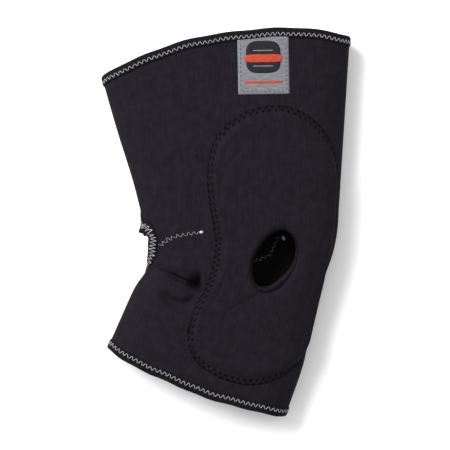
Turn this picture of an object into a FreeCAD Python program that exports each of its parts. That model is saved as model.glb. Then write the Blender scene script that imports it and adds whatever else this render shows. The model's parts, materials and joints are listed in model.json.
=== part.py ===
"""Neoprene knee sleeve lying on its side, slightly bent, pressed flat by its own weight.

The sleeve is a wide flattened tube. It is described in its own coordinates:
  s   along the tube, up towards the thigh, with s = 0 at the knee
  v   across the flattened tube, from the back fold (-) to the front fold (+)
  d   outwards from the outer face of the wall (negative goes into the wall)
The sleeve lies in the XY plane, with the near layer on top and +Z up.
"""
import FreeCAD
import Part
import math
import os

os.makedirs("parts", exist_ok=True)

# ---- sleeve, millimetres and degrees -------------------------------------------------
KNEE_WIDTH = 138.0          # flattened width at the knee
THIGH_WIDTH = 190.0         # flattened width at the thigh opening
CALF_WIDTH = 144.0          # flattened width at the calf opening
THIGH_LENGTH = 153.0        # knee to the ends of the thigh hem
CALF_LENGTH = 96.0          # knee to the ends of the calf hem
THIGH_HEM_BULGE = 17.5      # the middle of the thigh hem past its ends
THIGH_HEM_TILT = 5.5        # the front end of the thigh hem above its middle height
CALF_HEM_BULGE = 9.0
THIGH_LEAN = 6.0            # lean of the thigh half towards the back
CALF_LEAN = 22.0            # lean of the calf half towards the back
BEND_HALF = 30.0            # half the length of the curved part of the tube
FLARE = 1.0                 # how late the tube widens towards its ends
LAY_HEIGHT = 40.0           # height of the flattened tube
SETTLE = 0.2                # the lowest face pressed flat by this much

# ---- wall layers ---------------------------------------------------------------------
FACING = 0.6                # knitted outer facing
LINING = 0.6                # knitted inner lining
WALL = 4.9                  # facing, foam and lining together
BOND = 0.1                  # gap left at each bonded or sewn face
HINGE_BACK = 17.0           # the knee turns this far behind the centre line
SPLIT = 0.3                 # gap between the thigh, knee and calf lengths
ZONE_HALF = 50.0            # the bending length runs this far each way from the knee

# ---- hems ----------------------------------------------------------------------------
BINDING_WIDTH = 7.0
BINDING_TAPE = 1.1          # thickness of one leg of the folded tape
THREAD_WIDTH = 4.5          # width of a zigzag row
THREAD_DEPTH = 0.4
HEM_THREAD_IN = 1.8         # from the hem edge to the zigzag row

# ---- front pad -----------------------------------------------------------------------
FRONT_ROLL = 0.36           # the front centre line sits at this share of the half width
PAD_TOP = 110.0             # top of the pad above the knee
PAD_BOTTOM = 86.0           # bottom of the pad below the knee
PAD_HALF = 46.0             # half width of the pad, measured round the leg
PAD_SQUARE = 3.2            # how square the pad's corners are
PAD_FOAM = 3.0
PAD_COVER = 0.6
PAD_THREAD_IN = 0.4         # from the pad's edge to its zigzag row

# ---- kneecap opening -----------------------------------------------------------------
PATELLA_LONG = 41.0
PATELLA_SHORT = 31.0
PATELLA_S = 1.5             # its centre along the tube
PATELLA_TILT = 61.0         # its long axis from +X
PATELLA_TAPE = 1.2
PATELLA_THREAD_IN = 1.5

# ---- opening behind the knee ---------------------------------------------------------
HOLLOW_S = 4.6              # its centre along the back fold
HOLLOW_HALF = 18.5          # half its height
HOLLOW_NEAR = 2.0           # its reach on to the near layer
HOLLOW_FAR = 62.0           # its reach on to the far layer
HOLLOW_BINDING = 7.5
HOLLOW_THREAD_IN = 1.5

# ---- darts and back seams ------------------------------------------------------------
DART_LENGTH = 31.0
DART_RISE = 9.0             # the dart climbs towards the thigh by this much
DART_NARROW = 2.3           # width of its zigzag at the tip
BARTACK = 3.2               # diameter of the round tack at the tip
BARTACK_GAP = 3.5
SEAM_WIDTH = 4.5

# ---- label ---------------------------------------------------------------------------
LABEL_WIDTH = 38.0
LABEL_HEIGHT = 45.0
LABEL_S = 143.5
LABEL_V = 28.0
LABEL_THICK = 0.5
EMBLEM_WIDTH = 26.0
EMBLEM_HEIGHT = 24.0
EMBLEM_UP = 6.0
STRIPE_HEIGHT = 2.0
PRINT_THICK = 0.2
STITCH_LONG = 2.4
STITCH_WIDE = 0.5
STITCH_PITCH = 4.0
STITCH_IN = 2.2

# ---- values that follow --------------------------------------------------------------
HALF_H = LAY_HEIGHT / 2
MID_Z = HALF_H - SETTLE
TOP_Z = MID_Z + HALF_H
BEND = THIGH_LEAN + CALF_LEAN
BIG = 600.0
FOAM_OUT = -(FACING + BOND)
FOAM_IN = -(WALL - LINING - BOND)
LINING_OUT = -(WALL - LINING)
LIP_OUT = -(BINDING_TAPE + BOND)
LIP_IN = -(WALL - BINDING_TAPE - BOND)
PAD_IN = BOND
PAD_MID = PAD_IN + PAD_FOAM
COVER_IN = PAD_MID + BOND
COVER_OUT = COVER_IN + PAD_COVER


def vec(x, y, z=0.0):
    return FreeCAD.Vector(x, y, z)


def heading(s):
    """Angle of the tube's upward direction from +Y, in degrees, anticlockwise."""
    turn = max(-1.0, min(1.0, s / BEND_HALF))
    middle = (THIGH_LEAN - CALF_LEAN) / 2
    return middle + turn * BEND / 2


def along(s):
    a = math.radians(heading(s))
    return vec(-math.sin(a), math.cos(a))


def across(s):
    a = math.radians(heading(s))
    return vec(math.cos(a), math.sin(a))


def centre(s):
    """Point on the tube's centre line, summed in short steps round the bend."""
    steps = 24
    point = vec(0, 0)
    for i in range(steps):
        mid = s * (i + 0.5) / steps
        point = point + along(mid) * (s / steps)
    return point


def half_width(s):
    if s >= 0:
        end, length = THIGH_WIDTH, THIGH_LENGTH
    else:
        end, length = CALF_WIDTH, CALF_LENGTH
    share = (abs(s) / length) ** FLARE
    return (KNEE_WIDTH + (end - KNEE_WIDTH) * share) / 2


def place(s, v, z=0.0):
    point = centre(s) + across(s) * v
    return vec(point.x, point.y, z)


def section(s, d):
    """Closed stadium outline of the tube at s, grown by d."""
    c = centre(s) + vec(0, 0, MID_Z)
    p = across(s)
    flat = half_width(s) - HALF_H
    rise = vec(0, 0, HALF_H + d)
    front = c + p * flat
    back = c - p * flat
    fold = p * (HALF_H + d)
    edges = [
        Part.makeLine(front + rise, back + rise),
        Part.Arc(back + rise, back - fold, back - rise).toShape(),
        Part.makeLine(back - rise, front - rise),
        Part.Arc(front - rise, front + fold, front + rise).toShape(),
    ]
    return Part.Wire(edges)


STATIONS = [
    THIGH_LENGTH + THIGH_HEM_BULGE + 20,
    THIGH_LENGTH,
    THIGH_LENGTH * 0.7,
    THIGH_LENGTH * 0.45,
    BEND_HALF,
    BEND_HALF / 2,
    0.0,
    -BEND_HALF / 2,
    -BEND_HALF,
    -CALF_LENGTH * 0.65,
    -CALF_LENGTH,
    -(CALF_LENGTH + CALF_HEM_BULGE + 20),
]
FLOOR = Part.makeBox(BIG, BIG, 50, vec(-BIG / 2, -BIG / 2, -50))
tubes = {}


def tube(d):
    """Solid tube whose face lies d outside the wall's outer face."""
    key = round(d, 3)
    if key not in tubes:
        tubes[key] = Part.makeLoft([section(s, d) for s in STATIONS], True, False)
    return tubes[key]


shells = {}


def shell(outer, inner):
    """Layer of the tube between two distances, flat where it meets the table."""
    key = (round(outer, 3), round(inner, 3))
    if key not in shells:
        layer = tube(outer).cut(tube(inner))
        if -SETTLE < outer <= 0:
            layer = layer.cut(FLOOR)
        shells[key] = layer
    return shells[key]


def layer_in(outer, inner, region):
    """Layer of the tube inside one upright region only."""
    return tube(outer).common(region).cut(tube(inner))


# ---- regions, as upright prisms ------------------------------------------------------
def hem_disc(length, bulge, tilt, side, inset):
    """Upright cylinder whose rim is one hem line, moved inwards by inset."""
    a = half_width(side * length)
    s_mid = side * (length + bulge)
    ends = [(side * (length - tilt), -a), (side * (length + tilt), a)]
    flat = [place(s, v) for s, v in ends]
    circle = Part.Arc(flat[0], place(s_mid, 0), flat[1]).toShape().Curve
    base = vec(circle.Center.x, circle.Center.y, -BIG / 2)
    return Part.makeCylinder(circle.Radius - inset, BIG, base)


def inside_hems(inset):
    top = hem_disc(THIGH_LENGTH, THIGH_HEM_BULGE, THIGH_HEM_TILT, 1, inset)
    low = hem_disc(CALF_LENGTH, CALF_HEM_BULGE, 0.0, -1, inset)
    return top.common(low)


def half_space(s):
    """Everything past the station s, away from the knee."""
    side = 1 if s > 0 else -1
    origin = centre(s)
    box = Part.makeBox(BIG, BIG, BIG, vec(-BIG / 2, 0, -BIG / 2))
    turn = heading(s) if side > 0 else heading(s) + 180
    box.rotate(vec(0, 0), vec(0, 0, 1), turn)
    box.translate(origin)
    return box


def prism(wire, low, high):
    face = Part.Face(wire)
    face.translate(vec(0, 0, low))
    return face.extrude(vec(0, 0, high - low))


def ellipse_prism(point, long_r, short_r, angle, low, high):
    wire = Part.Wire([Part.Ellipse(vec(0, 0), long_r, short_r).toShape()])
    wire.rotate(vec(0, 0), vec(0, 0, 1), angle)
    wire.translate(vec(point.x, point.y))
    return prism(wire, low, high)


def flat_prism(points, low, high):
    return prism(Part.makePolygon(points + points[:1]), low, high)


def power(value, exponent):
    return math.copysign(abs(value) ** exponent, value)


def pad_point(angle, inset):
    """Point on the pad's edge seen from above; the edge wraps over the front fold."""
    length = (PAD_TOP if math.cos(angle) > 0 else PAD_BOTTOM) - inset
    s = length * power(math.cos(angle), 2 / PAD_SQUARE)
    girth = (PAD_HALF - inset) * power(math.sin(angle), 2 / PAD_SQUARE)
    front = FRONT_ROLL * half_width(s)
    flat = half_width(s) - HALF_H - front
    if girth <= flat:
        return place(s, front + girth)
    turn = min(math.pi / 2, (girth - flat) / HALF_H)
    reach = (HALF_H + COVER_OUT) * math.sin(turn)
    return place(s, front + flat + reach)


def pad_prism(inset):
    count = 40
    points = [pad_point(2 * math.pi * i / count, inset) for i in range(count)]
    curve = Part.BSplineCurve()
    curve.interpolate(points, PeriodicFlag=True)
    return prism(Part.Wire([curve.toShape()]), MID_Z, MID_Z + BIG)


PATELLA = place(PATELLA_S, FRONT_ROLL * half_width(PATELLA_S))


def patella_prism(grow):
    long_r = PATELLA_LONG / 2 + grow
    short_r = PATELLA_SHORT / 2 + grow
    return ellipse_prism(PATELLA, long_r, short_r, PATELLA_TILT, MID_Z, MID_Z + BIG)


HOLLOW = place(HOLLOW_S, -half_width(HOLLOW_S))


def hollow_prism(grow):
    """Oval opening behind the knee, short on the near layer and long on the far one."""
    tall = HOLLOW_HALF + grow
    angle = heading(0.0)
    near = hollow_half(HOLLOW_NEAR + grow, tall, angle, MID_Z, MID_Z + BIG)
    far = hollow_half(HOLLOW_FAR + grow, tall, angle, MID_Z - BIG, MID_Z)
    return near.fuse(far)


def hollow_half(reach, tall, angle, low, high):
    if reach >= tall:
        return ellipse_prism(HOLLOW, reach, tall, angle, low, high)
    return ellipse_prism(HOLLOW, tall, reach, angle + 90, low, high)


def dart_points(tip_v):
    """Start and tip of a dart; it runs from the opening's end towards the front."""
    tip = place(HOLLOW_S + DART_RISE, tip_v)
    root = place(HOLLOW_S, tip_v - DART_LENGTH)
    return root, tip


def dart_prism(root, tip, grow, low, high):
    run = (tip - root).normalize()
    side = vec(-run.y, run.x)
    wide = side * (THREAD_WIDTH / 2 + grow)
    thin = side * (DART_NARROW / 2 + grow)
    start = root - run * grow
    end = tip - run * (BARTACK_GAP - grow)
    strip = flat_prism([start - wide, end - thin, end + thin, start + wide], low, high)
    tack = Part.makeCylinder(BARTACK / 2 + grow, high - low, vec(tip.x, tip.y, low))
    return Part.makeCompound([strip, tack])


def seam_prism(s_low, s_high, grow):
    """Strip up the back centre line on the far layer."""
    count = 8
    steps = [s_low + (s_high - s_low) * i / count for i in range(count + 1)]
    half = SEAM_WIDTH / 2 + grow
    one = [place(s, -FRONT_ROLL * half_width(s) - half) for s in steps]
    two = [place(s, -FRONT_ROLL * half_width(s) + half) for s in steps]
    return flat_prism(one + two[::-1], MID_Z - BIG, MID_Z)


# ---- zones ---------------------------------------------------------------------------
THIGH_SIDE = half_space(ZONE_HALF + SPLIT / 2)
CALF_SIDE = half_space(-(ZONE_HALF + SPLIT / 2))
OUTSIDE_KNEE = [half_space(ZONE_HALF - SPLIT / 2), half_space(SPLIT / 2 - ZONE_HALF)]
made = {}


def keep(name, shape):
    solids = [s for s in shape.Solids if s.Volume > 0.01]
    made[name] = solids[0] if len(solids) == 1 else Part.makeCompound(solids)


def keep_zones(name, shape):
    keep("thigh_" + name, shape.common(THIGH_SIDE))
    keep("knee_" + name, shape.cut(OUTSIDE_KNEE[0]).cut(OUTSIDE_KNEE[1]))
    keep("calf_" + name, shape.common(CALF_SIDE))


# ---- seams that show on the facing and on the lining ---------------------------------
NEAR_TIP_V = HOLLOW_NEAR + HOLLOW_BINDING + DART_LENGTH - half_width(HOLLOW_S) + 3
FAR_TIP_V = HOLLOW_FAR + HOLLOW_BINDING + DART_LENGTH - half_width(HOLLOW_S) + 3
near_root, near_tip = dart_points(NEAR_TIP_V)
far_root, far_tip = dart_points(FAR_TIP_V)
SEAM_TOP = THIGH_LENGTH + THIGH_HEM_BULGE + 10
SEAM_LOW = -(CALF_LENGTH + CALF_HEM_BULGE + 10)
seam_start = HOLLOW_S + HOLLOW_HALF + HOLLOW_BINDING + 2
seam_end = HOLLOW_S - HOLLOW_HALF - HOLLOW_BINDING - 2


def seam_lines(grow):
    near = dart_prism(near_root, near_tip, grow, MID_Z, MID_Z + BIG)
    far = dart_prism(far_root, far_tip, grow, MID_Z - BIG, MID_Z)
    upper = seam_prism(seam_start - grow, SEAM_TOP, grow)
    lower = seam_prism(SEAM_LOW, seam_end + grow, grow)
    return [near, far, upper, lower]


def cut_all(shape, tools):
    for tool in tools:
        shape = shape.cut(tool)
    return shape


# ---- sleeve wall ---------------------------------------------------------------------
panel = inside_hems(BINDING_WIDTH + BOND)
bound = inside_hems(BINDING_TAPE + BOND)
hollow_edge = hollow_prism(HOLLOW_BINDING + BOND)
hollow_core = hollow_prism(BINDING_TAPE + BOND)
patella_edge = patella_prism(PATELLA_TAPE + BOND)
slots = seam_lines(BOND)

facing = shell(0.0, -FACING).common(panel).cut(hollow_edge).cut(patella_edge)
facing = cut_all(facing, slots)
keep_zones("facing", facing)

lining = shell(LINING_OUT, -WALL).common(panel).cut(hollow_edge).cut(patella_edge)
lining = cut_all(lining, slots[:2])
keep_zones("lining", lining)

core = shell(FOAM_OUT, FOAM_IN).common(panel).cut(hollow_edge)
lip = shell(LIP_OUT, LIP_IN).common(bound).cut(hollow_core)
foam = core.fuse(lip).cut(patella_edge)
keep_zones("foam", foam)

# ---- bindings and their zigzag rows --------------------------------------------------
wall = shell(0.0, -WALL)
pocket = shell(-BINDING_TAPE, -(WALL - BINDING_TAPE))


def skin(depth, region):
    """Thin outer layer of the tube inside one region, flat where it meets the table."""
    return layer_in(0.0, -depth, region).cut(FLOOR)


def band(region, start, end):
    """Part of a region between two insets from its edge."""
    return region(start).cut(region(end))


hem_band = band(inside_hems, 0.0, BINDING_WIDTH)
hem_tape = wall.common(hem_band).cut(pocket.common(inside_hems(BINDING_TAPE)))
hem_row = band(inside_hems, HEM_THREAD_IN, HEM_THREAD_IN + THREAD_WIDTH)
hem_slot = band(inside_hems, HEM_THREAD_IN - BOND, HEM_THREAD_IN + THREAD_WIDTH + BOND)
hem_tape = hem_tape.cut(skin(THREAD_DEPTH, hem_slot))
hem_thread = skin(THREAD_DEPTH - BOND, hem_row)
keep("thigh_hem_binding", hem_tape.common(THIGH_SIDE))
keep("calf_hem_binding", hem_tape.common(CALF_SIDE))
keep("thigh_hem_thread", hem_thread.common(THIGH_SIDE))
keep("calf_hem_thread", hem_thread.common(CALF_SIDE))

hollow_tape = wall.common(hollow_prism(HOLLOW_BINDING)).cut(hollow_prism(0.0))
hollow_tape = hollow_tape.cut(pocket.cut(hollow_prism(BINDING_TAPE)))
row_end = HOLLOW_THREAD_IN + THREAD_WIDTH
hollow_row = hollow_prism(row_end).cut(hollow_prism(HOLLOW_THREAD_IN))
hollow_slot = hollow_prism(row_end + BOND).cut(hollow_prism(HOLLOW_THREAD_IN - BOND))
keep("popliteal_binding", hollow_tape.cut(skin(THREAD_DEPTH, hollow_slot)))
keep("popliteal_thread", skin(THREAD_DEPTH - BOND, hollow_row))

# ---- darts and back seams ------------------------------------------------------------
seams = seam_lines(0.0)
facing_layer = shell(0.0, -FACING)
lining_layer = shell(LINING_OUT, -WALL)
for name, line in zip(("near_dart_thread", "far_dart_thread"), seams[:2]):
    outer = facing_layer.common(line)
    inner = lining_layer.common(line)
    keep(name, Part.makeCompound(outer.Solids + inner.Solids))
keep("upper_back_seam_thread", facing_layer.common(seams[2]).common(panel).common(THIGH_SIDE))
keep("lower_back_seam_thread", facing_layer.common(seams[3]).common(panel).common(CALF_SIDE))
keep("knee_back_seam_thread",
     cut_all(facing_layer.common(seams[2].fuse(seams[3])), OUTSIDE_KNEE).cut(hollow_edge))

# ---- front pad -----------------------------------------------------------------------
pad_edge = pad_prism(0.0)
pad_foam = layer_in(PAD_MID, PAD_IN, pad_edge).cut(patella_edge)
keep_zones("pad_foam", pad_foam)
pad_row = pad_prism(PAD_THREAD_IN).cut(pad_prism(PAD_THREAD_IN + THREAD_WIDTH))
pad_slot = pad_prism(PAD_THREAD_IN - BOND).cut(pad_prism(PAD_THREAD_IN + THREAD_WIDTH + BOND))
rim_end = PATELLA_THREAD_IN + THREAD_WIDTH
rim_row = patella_prism(rim_end).cut(patella_prism(PATELLA_THREAD_IN))
rim_slot = patella_prism(rim_end + BOND).cut(patella_prism(PATELLA_THREAD_IN - BOND))
cover = layer_in(COVER_OUT, COVER_IN, pad_edge)
cover = cut_all(cover, [patella_edge, pad_slot, rim_slot])
keep_zones("pad_cover", cover)
keep_zones("pad_thread", layer_in(COVER_OUT, COVER_IN, pad_row))
keep("patella_thread", layer_in(COVER_OUT, COVER_IN, rim_row))
patella_ring = patella_prism(PATELLA_TAPE).cut(patella_prism(0.0))
keep("patella_binding", layer_in(COVER_OUT, -WALL, patella_ring))

# ---- label ---------------------------------------------------------------------------
label_low = TOP_Z + BOND


def label_block(width, height, up, low, thick):
    """Flat block on the label, up being its centre above the label's centre."""
    block = Part.makeBox(width, height, thick, vec(-width / 2, up - height / 2, low))
    block.rotate(vec(0, 0), vec(0, 0, 1), heading(LABEL_S))
    block.translate(place(LABEL_S, LABEL_V))
    return block


label = label_block(LABEL_WIDTH, LABEL_HEIGHT, 0.0, label_low, LABEL_THICK)
keep("label", label.common(panel))
print_low = label_low + LABEL_THICK + BOND
emblem = label_block(EMBLEM_WIDTH, EMBLEM_HEIGHT, EMBLEM_UP, print_low, PRINT_THICK)
corners = [e for e in emblem.Edges if abs(e.Vertexes[0].Z - e.Vertexes[-1].Z) > PRINT_THICK / 2]
keep("label_emblem", emblem.makeFillet(EMBLEM_HEIGHT / 4, corners))
stripe_up = EMBLEM_UP - EMBLEM_HEIGHT / 2 - STRIPE_HEIGHT * 2
keep("label_stripe", label_block(EMBLEM_WIDTH, STRIPE_HEIGHT, stripe_up, print_low, PRINT_THICK))
dashes = []
side_x = LABEL_WIDTH / 2 - STITCH_IN
foot = STITCH_IN - LABEL_HEIGHT / 2
row_count = int((LABEL_HEIGHT - STITCH_IN * 2 - BINDING_WIDTH) / STITCH_PITCH)
for i in range(row_count):
    up = foot + STITCH_PITCH * (i + 1)
    for x in (-side_x, side_x):
        dash = Part.makeBox(STITCH_WIDE, STITCH_LONG, PRINT_THICK,
                            vec(x - STITCH_WIDE / 2, up - STITCH_LONG / 2, print_low))
        dashes.append(dash)
for i in range(int(side_x * 2 / STITCH_PITCH)):
    x = STITCH_PITCH * (i + 1) - side_x
    dash = Part.makeBox(STITCH_LONG, STITCH_WIDE, PRINT_THICK,
                        vec(x - STITCH_LONG / 2, foot - STITCH_WIDE / 2, print_low))
    dashes.append(dash)
stitching = Part.makeCompound(dashes)
stitching.rotate(vec(0, 0), vec(0, 0, 1), heading(LABEL_S))
stitching.translate(place(LABEL_S, LABEL_V))
keep("label_stitching", stitching)

# ---- put the origin under the middle of the sleeve, and write the pieces -------------
box = FreeCAD.BoundBox()
for shape in made.values():
    for point in shape.tessellate(0.2)[0]:
        box.add(point)
shift = vec(-(box.XMin + box.XMax) / 2, -(box.YMin + box.YMax) / 2, -box.ZMin)
for name, shape in made.items():
    shape.translate(shift)
    shape.exportStep("parts/" + name + ".step")
    print(name, len(shape.Solids), round(shape.Volume / 1000, 2), "cm3", shape.isValid())
print("size", round(box.XLength, 1), round(box.YLength, 1), round(box.ZLength, 1))
print("knee hinge", place(0, -HINGE_BACK) + shift)
print("shift", shift)
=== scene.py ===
"""Looks of a bent neoprene knee sleeve lying on its side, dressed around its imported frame."""
import json
import logging
import math
from dataclasses import dataclass
from enum import Enum
from typing import Callable, Dict, List, Optional, Sequence, Tuple

import bmesh
import bpy
import numpy as np
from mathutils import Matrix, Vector


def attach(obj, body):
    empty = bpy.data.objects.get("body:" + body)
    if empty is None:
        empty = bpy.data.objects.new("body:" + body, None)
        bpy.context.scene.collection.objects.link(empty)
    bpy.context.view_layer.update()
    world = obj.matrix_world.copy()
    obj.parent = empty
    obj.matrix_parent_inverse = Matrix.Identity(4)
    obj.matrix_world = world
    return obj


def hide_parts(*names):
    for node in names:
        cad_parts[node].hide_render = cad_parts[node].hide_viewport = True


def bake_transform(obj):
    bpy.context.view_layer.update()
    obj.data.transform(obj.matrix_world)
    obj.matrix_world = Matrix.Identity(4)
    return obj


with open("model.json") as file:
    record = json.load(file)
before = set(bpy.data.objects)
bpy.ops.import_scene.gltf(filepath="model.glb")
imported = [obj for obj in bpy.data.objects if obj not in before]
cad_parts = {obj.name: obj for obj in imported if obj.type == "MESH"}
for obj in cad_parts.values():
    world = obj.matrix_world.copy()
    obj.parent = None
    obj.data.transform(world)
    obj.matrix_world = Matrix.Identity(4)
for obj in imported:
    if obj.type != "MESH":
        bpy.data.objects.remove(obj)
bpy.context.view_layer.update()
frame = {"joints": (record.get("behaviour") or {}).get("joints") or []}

LOG = logging.getLogger("knee_sleeve")
MM = 0.001
THIGH = "thigh_part"
CALF = "calf_part"
WALL = 4.9
Pattern = Callable[[np.ndarray, np.ndarray], np.ndarray]
Places = Tuple[Tuple[float, float], ...]


def smooth(value: np.ndarray, low: float, high: float) -> np.ndarray:
    """Return a smooth step of value from 0 at low to 1 at high."""
    t = np.clip((value - low) / (high - low), 0.0, 1.0)
    return t * t * (3.0 - 2.0 * t)


def hump(value: np.ndarray, middle: float, spread: float) -> np.ndarray:
    """Return a rounded hump of height 1 at middle that dies away over spread."""
    return np.exp(-(((value - middle) / spread) ** 2))


def lopsided(value: np.ndarray, above: float, below: float) -> np.ndarray:
    """Return a hump of height 1 at 0 with one spread above it and another below."""
    return np.where(value > 0, hump(value, 0.0, above), hump(value, 0.0, below))


def round_outline(outline: np.ndarray, share: np.ndarray) -> Tuple[np.ndarray, np.ndarray]:
    """Return the inset and the lift at shares of the way round a closed outline."""
    at, known = share * (len(outline) - 1), np.arange(len(outline))
    return np.interp(at, known, outline[:, 0]), np.interp(at, known, outline[:, 1])


@dataclass(frozen=True)
class Tuck:
    """The pocket-like tuck in the near layer behind the knee, in millimetres."""

    crease: Places = (
        (-58.0, -35.2), (-49.0, -36.9), (-40.0, -40.2), (-30.0, -45.0), (-24.0, -47.8),
        (-18.5, -49.2))
    crescent: Places = (
        (-54.0, -48.5), (-48.5, -54.0), (-42.0, -58.6), (-35.5, -61.4), (-28.5, -60.2),
        (-23.0, -55.5))
    edge: float = -19.4
    depth: float = 5.4
    valley_sides: Tuple[float, float] = (2.1, 2.4)
    ridge: float = 1.3
    ridge_below: float = 4.6
    pocket: float = 10.0
    pocket_y: float = -45.6
    puff: float = 2.4
    puff_at: Tuple[float, float] = (-37.0, -33.5)
    hollow: float = 3.9
    hollow_sides: Tuple[float, float] = (3.0, 7.0)
    lip_in: float = 2.6
    lip_y: float = -43.0

    def height(self, x: np.ndarray, y: np.ndarray) -> np.ndarray:
        """Return how far the tuck lifts or sinks the near layer.

        Args:
            x: Places across the row frame.
            y: Places along the row frame.

        Returns:
            The lift at each place, negative where the cloth sinks.
        """
        left = 1.0 - smooth(x, self.edge - 0.5, self.edge + 0.6)
        line = np.array(self.crease)
        up = y - np.interp(x, line[:, 0], line[:, 1])
        run = smooth(x, -60.0, -38.0) * left
        grow = 0.62 + 0.38 * smooth(x, -46.0, -26.0)
        valley = -self.depth * grow * run * lopsided(up, *self.valley_sides)
        ridge = self.ridge * run * hump(up, -self.ridge_below, 2.4) * smooth(x, -50.0, -36.0)
        pocket = -self.pocket * smooth(x, -31.0, -20.5) * left * hump(y, self.pocket_y, 6.0)
        puff = self.puff * hump(x, self.puff_at[0], 11.0) * hump(y, self.puff_at[1], 6.5)
        arc = np.array(self.crescent)
        low = y - np.interp(x, arc[:, 0], arc[:, 1])
        reach = smooth(x, -54.0, -42.0) * (1.0 - smooth(x, -30.0, -20.0))
        hollow = -self.hollow * reach * lopsided(low, *self.hollow_sides)
        lip = hump(x, self.edge + self.lip_in, 1.9) * hump(y, self.lip_y, 8.0)
        return valley + ridge + pocket + puff + hollow + lip


@dataclass(frozen=True)
class PadFold:
    """A faint slanting fold across the front pad, in millimetres."""

    start: Tuple[float, float] = (30.0, -50.5)
    end: Tuple[float, float] = (-9.0, -72.0)
    depth: float = 1.1
    sides: Tuple[float, float] = (2.6, 6.5)

    def height(self, x: np.ndarray, y: np.ndarray) -> np.ndarray:
        """Return the lift of the fold at each place."""
        run = np.array(self.end) - np.array(self.start)
        length = float(np.hypot(*run))
        ux, uy = run / length
        dx, dy = x - self.start[0], y - self.start[1]
        along = (dx * ux + dy * uy) / length
        off = dx * uy - dy * ux
        reach = smooth(along, -0.12, 0.15) * (1.0 - smooth(along, 0.75, 1.1))
        return -self.depth * lopsided(off, *self.sides) * reach


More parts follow.
